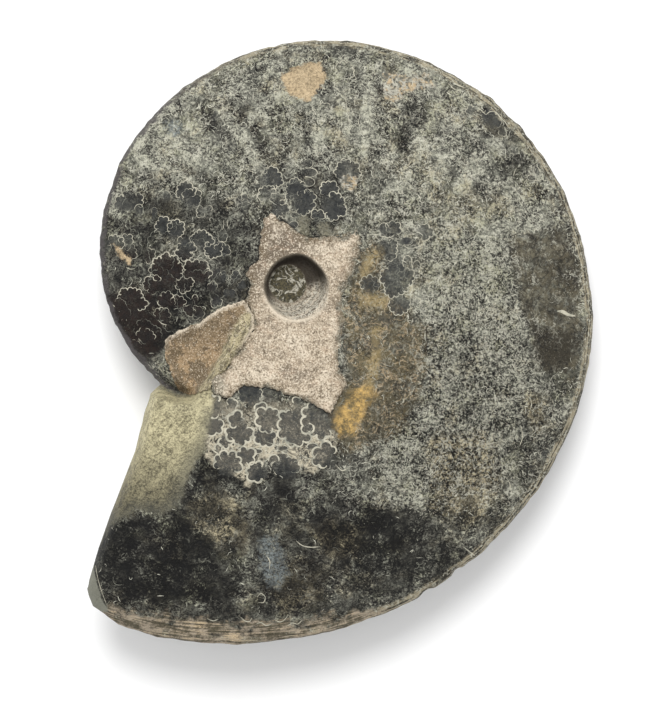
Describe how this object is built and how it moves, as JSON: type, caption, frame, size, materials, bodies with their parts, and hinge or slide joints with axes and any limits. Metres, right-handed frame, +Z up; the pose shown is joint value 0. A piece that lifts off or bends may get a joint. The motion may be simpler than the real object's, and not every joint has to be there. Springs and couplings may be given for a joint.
{
  "type": "ammonite fossil",
  "caption": "Flat, tightly coiled fossil shell with a sharp keel, a small hollow navel ringed by sandstone crust and a broken mouth.",
  "frame": {"origin": "on the ground at the middle of the shell's outline, where it lies on its back flank", "axes": "+Z up from the flank it lies on to the flank that is seen, +Y from the broken mouth's end of the shell to the top of the coil, +X to the side away from the broken mouth"},
  "size_m": [0.0839, 0.1002, 0.0257],
  "materials": {
    "fossil_stone": "dull dark grey-green stone with fine cream seams and a pinkish sandstone crust"
  },
  "bodies": {
    "root": {"ammonite": "fossil_stone"}
  },
  "joints": []
}
